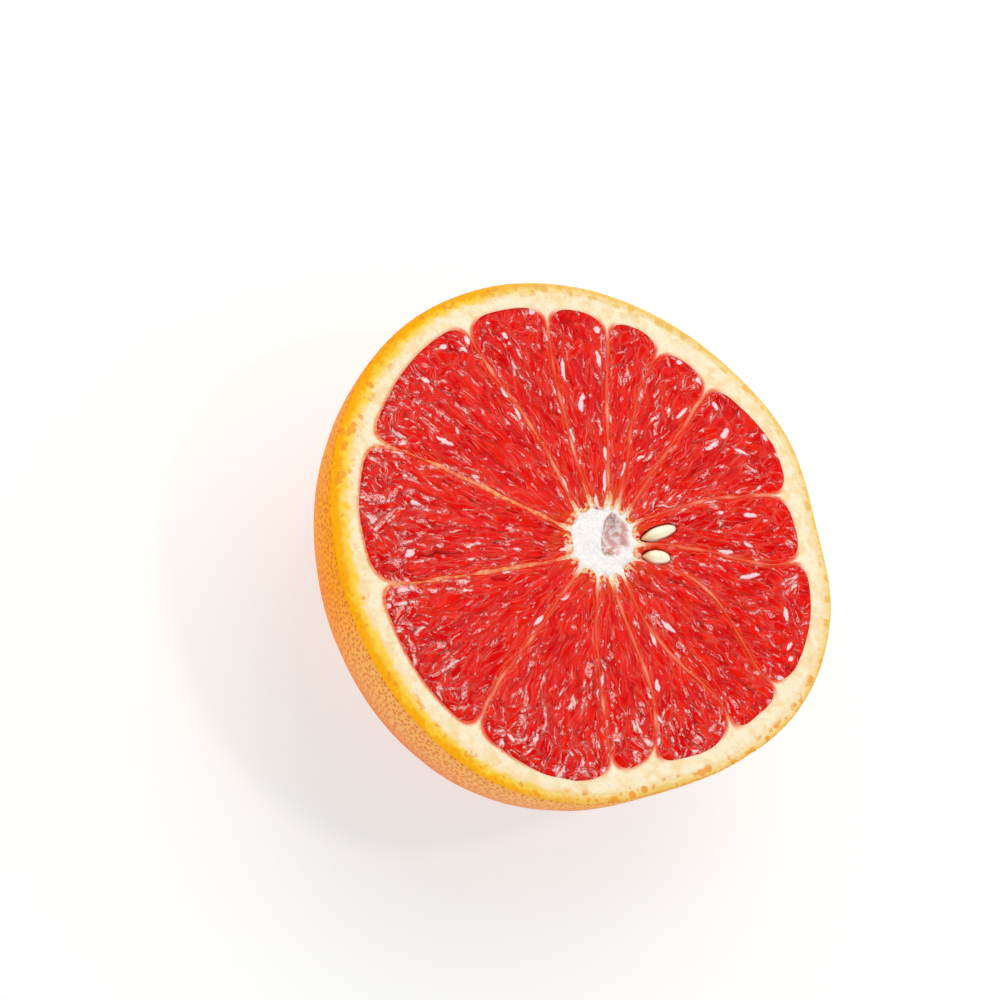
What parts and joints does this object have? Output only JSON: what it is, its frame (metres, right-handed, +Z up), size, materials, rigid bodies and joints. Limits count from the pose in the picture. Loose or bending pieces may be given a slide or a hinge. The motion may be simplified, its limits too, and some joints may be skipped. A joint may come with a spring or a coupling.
{
  "type": "grapefruit half",
  "caption": "Red grapefruit cut in half across its middle, resting on its rind, with pith, core, membranes, pulp segments and seeds in the cut face.",
  "frame": {"origin": "the middle of the small flat spot on the rind that the half rests on, under the middle of its outline", "axes": "+Z up, from the flat spot through the cut face; +X and +Y in the cut face's plane"},
  "size_m": [0.1096, 0.1076, 0.0498],
  "materials": {
    "rind": "satin, pebbled with fine oil glands",
    "pith": "soft matte, moist",
    "pulp": "wet, translucent",
    "seed": "smooth, wet"
  },
  "bodies": {
    "root": {"rind": "rind", "pith": "pith", "segment_01": "pulp", "segment_02": "pulp", "segment_03": "pulp", "segment_04": "pulp", "segment_05": "pulp", "segment_06": "pulp", "segment_07": "pulp", "segment_08": "pulp", "segment_09": "pulp", "segment_10": "pulp", "segment_11": "pulp", "segment_12": "pulp", "segment_13": "pulp", "segment_14": "pulp", "seed_1": "seed", "seed_2": "seed"}
  },
  "joints": []
}
